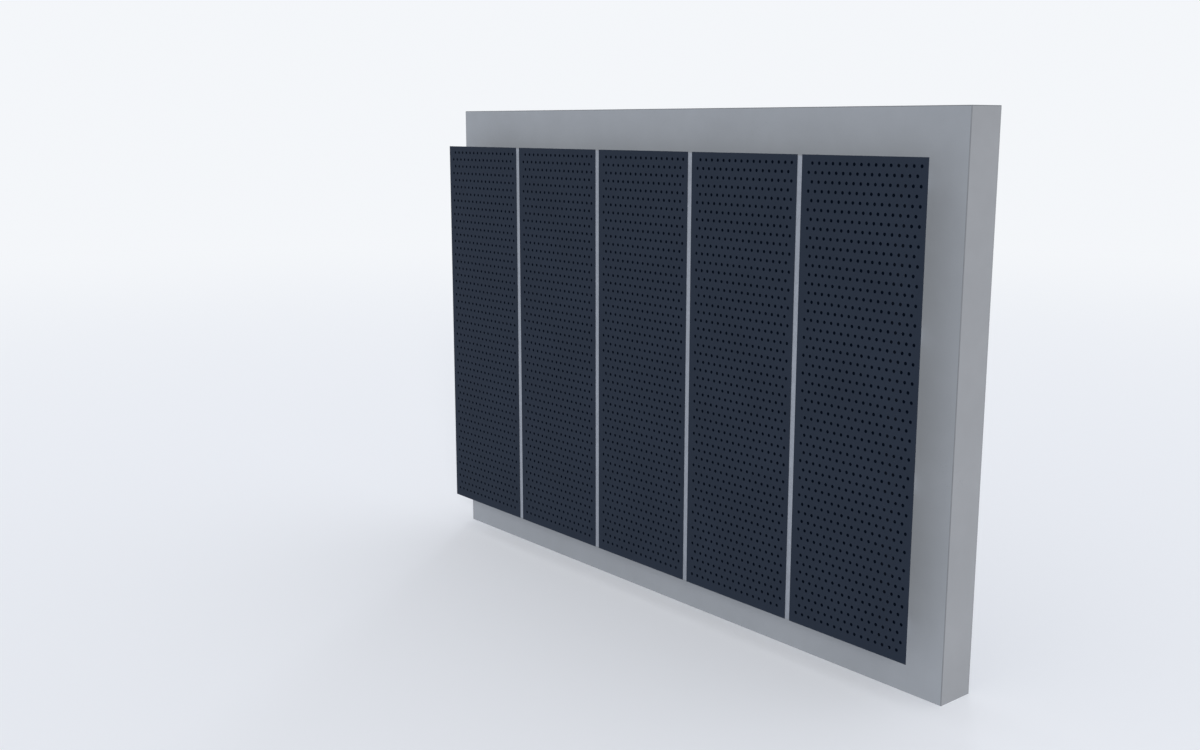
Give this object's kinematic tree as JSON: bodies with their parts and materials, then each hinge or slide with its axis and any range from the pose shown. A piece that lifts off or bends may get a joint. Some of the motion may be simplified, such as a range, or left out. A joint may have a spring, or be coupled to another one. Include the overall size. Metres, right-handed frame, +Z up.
{
  "type": "perforated screen on wall",
  "caption": "Free-standing wall faced with tall perforated metal sheets on a black liner, hung side by side with open joints on vertical T rails that stand off the wall on angle brackets.",
  "frame": {"origin": "centre of the wall's underside, where it rests on level ground", "axes": "+X along the wall, to the right as seen from the screen's side; +Y from the screen into the wall; +Z up"},
  "size_m": [7, 0.725, 5],
  "materials": {
    "wall_render": "fair-faced concrete, matt light grey",
    "screen_sheet": "powder coat, matt dark blue-grey",
    "liner_black": "black fleece on sound-absorbing board",
    "rail_metal": "galvanised, dull",
    "rail_dark": "powder coat, matt black",
    "bracket_metal": "galvanised, dull"
  },
  "bodies": {
    "root": {"wall": "wall_render", "panel_1": "screen_sheet", "panel_2": "screen_sheet", "panel_3": "screen_sheet", "panel_4": "screen_sheet", "panel_5": "screen_sheet", "liner_1": "liner_black", "liner_2": "liner_black", "liner_3": "liner_black", "liner_4": "liner_black", "liner_5": "liner_black", "rail_0": "rail_dark", "rail_1": "rail_metal", "rail_2": "rail_metal", "rail_3": "rail_metal", "rail_4": "rail_metal", "rail_5": "rail_dark", "bracket_0_1": "bracket_metal", "bracket_0_2": "bracket_metal", "bracket_0_3": "bracket_metal", "bracket_0_4": "bracket_metal", "bracket_1_1": "bracket_metal", "bracket_1_2": "bracket_metal", "bracket_1_3": "bracket_metal", "bracket_1_4": "bracket_metal", "bracket_2_1": "bracket_metal", "bracket_2_2": "bracket_metal", "bracket_2_3": "bracket_metal", "bracket_2_4": "bracket_metal", "bracket_3_1": "bracket_metal", "bracket_3_2": "bracket_metal", "bracket_3_3": "bracket_metal", "bracket_3_4": "bracket_metal", "bracket_4_1": "bracket_metal", "bracket_4_2": "bracket_metal", "bracket_4_3": "bracket_metal", "bracket_4_4": "bracket_metal", "bracket_5_1": "bracket_metal", "bracket_5_2": "bracket_metal", "bracket_5_3": "bracket_metal", "bracket_5_4": "bracket_metal"}
  },
  "joints": []
}
